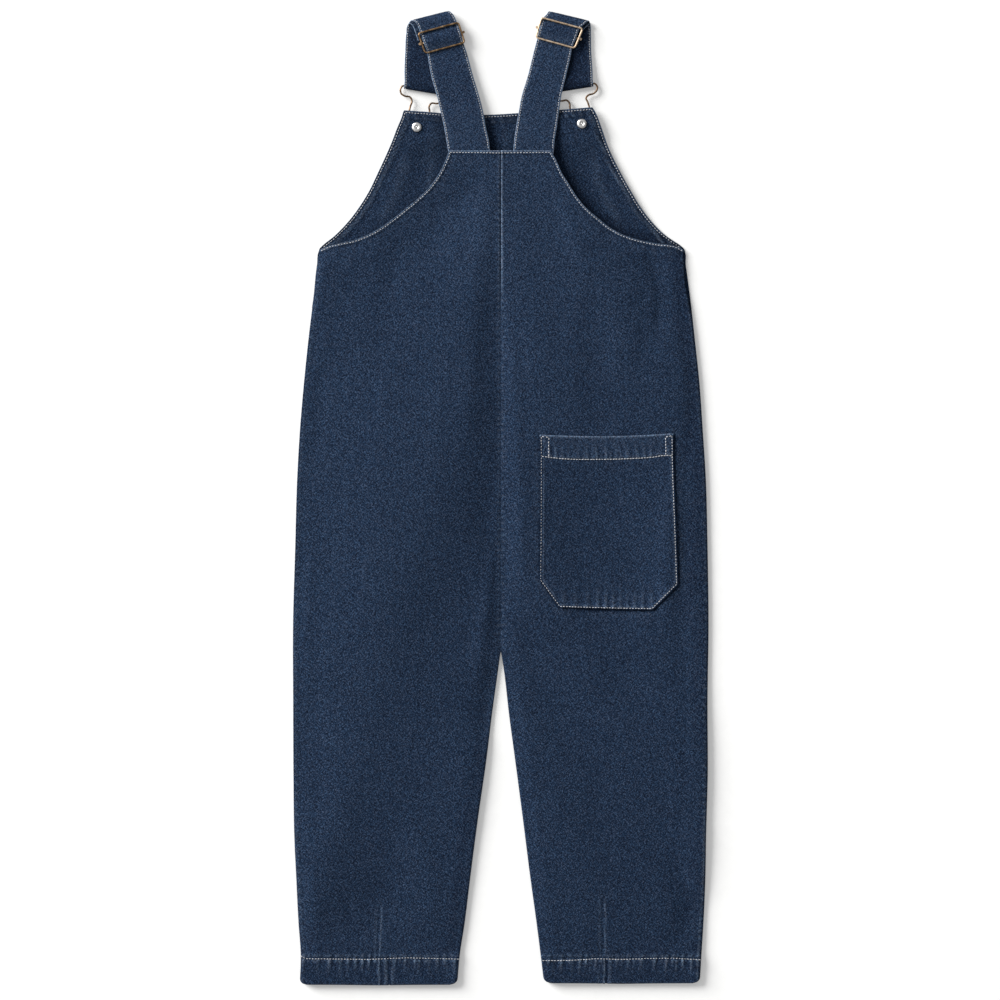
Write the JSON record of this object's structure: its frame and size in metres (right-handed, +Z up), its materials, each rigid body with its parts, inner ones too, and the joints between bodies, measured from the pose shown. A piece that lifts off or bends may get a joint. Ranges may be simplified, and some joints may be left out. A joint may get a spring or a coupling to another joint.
{
  "type": "child's denim bib dungarees laid flat",
  "caption": "Child's denim bib dungarees laid flat on their front: wide legs, scooped armholes, a patch pocket, and straps with wire sliders and hooks.",
  "frame": {"origin": "middle of the garment's outline, on the surface it lies on", "axes": "+Y up the garment from the hems to the shoulder folds, +X towards the side with the pocket, +Z up from the surface through the back panels"},
  "size_m": [0.4159, 0.9732, 0.0098],
  "materials": {
    "denim": "dark indigo cotton twill with pale flecks, matt, off-white topstitching",
    "bronze_wire": "antique bronze plated wire, rubbed bright on top",
    "nickel": "bright nickel plated tack back, smooth"
  },
  "bodies": {
    "root": {"front_bib": "denim", "front_left_leg": "denim", "front_right_leg": "denim", "back_left": "denim", "back_right": "denim", "back_pocket": "denim", "strap_left": "denim", "strap_right": "denim", "slider_frame_left": "bronze_wire", "slider_frame_right": "bronze_wire", "slider_bar_left": "bronze_wire", "slider_bar_right": "bronze_wire", "hook_left": "bronze_wire", "hook_right": "bronze_wire", "button_left": "bronze_wire", "button_right": "bronze_wire", "tack_left": "nickel", "tack_right": "nickel"}
  },
  "joints": []
}
